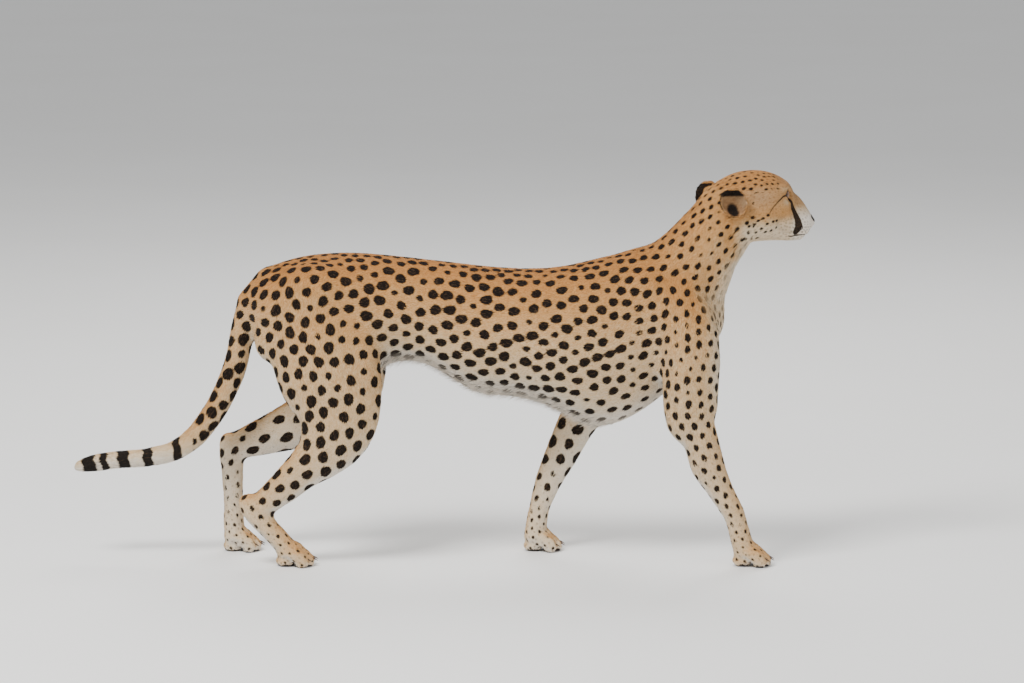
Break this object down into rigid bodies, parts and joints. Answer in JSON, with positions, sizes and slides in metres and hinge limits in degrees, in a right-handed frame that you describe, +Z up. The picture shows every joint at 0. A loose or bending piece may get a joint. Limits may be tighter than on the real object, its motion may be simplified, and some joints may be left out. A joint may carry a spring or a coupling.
{
  "type": "cheetah figure",
  "caption": "Life-size still model of a spotted long-legged cat walking, head raised and tail low behind, for display on a level floor.",
  "frame": {"origin": "Middle of the bounding box's lower face, on the level that the paws stand on.", "axes": "+X is the way the animal faces and walks, +Y is its left side, +Z is up."},
  "size_m": [1.5544, 0.2594, 0.8168],
  "materials": {
    "coat": "short sandy fur with brown-black spots, cream below",
    "ear": "short fur, dark behind and pale inside",
    "eye": "glossy amber"
  },
  "bodies": {
    "root": {"chest": "coat", "ear_left": "ear", "ear_right": "ear", "eye_left": "eye", "eye_right": "eye", "foreleg_left_lower": "coat", "foreleg_left_paw": "coat", "foreleg_left_upper": "coat", "foreleg_right_lower": "coat", "foreleg_right_paw": "coat", "foreleg_right_upper": "coat", "head": "coat", "hindleg_left_foot": "coat", "hindleg_left_shank": "coat", "hindleg_left_thigh": "coat", "hindleg_right_foot": "coat", "hindleg_right_shank": "coat", "hindleg_right_thigh": "coat", "loin": "coat", "neck": "coat", "rump": "coat", "tail_1": "coat", "tail_2": "coat", "tail_3": "coat"}
  },
  "joints": []
}
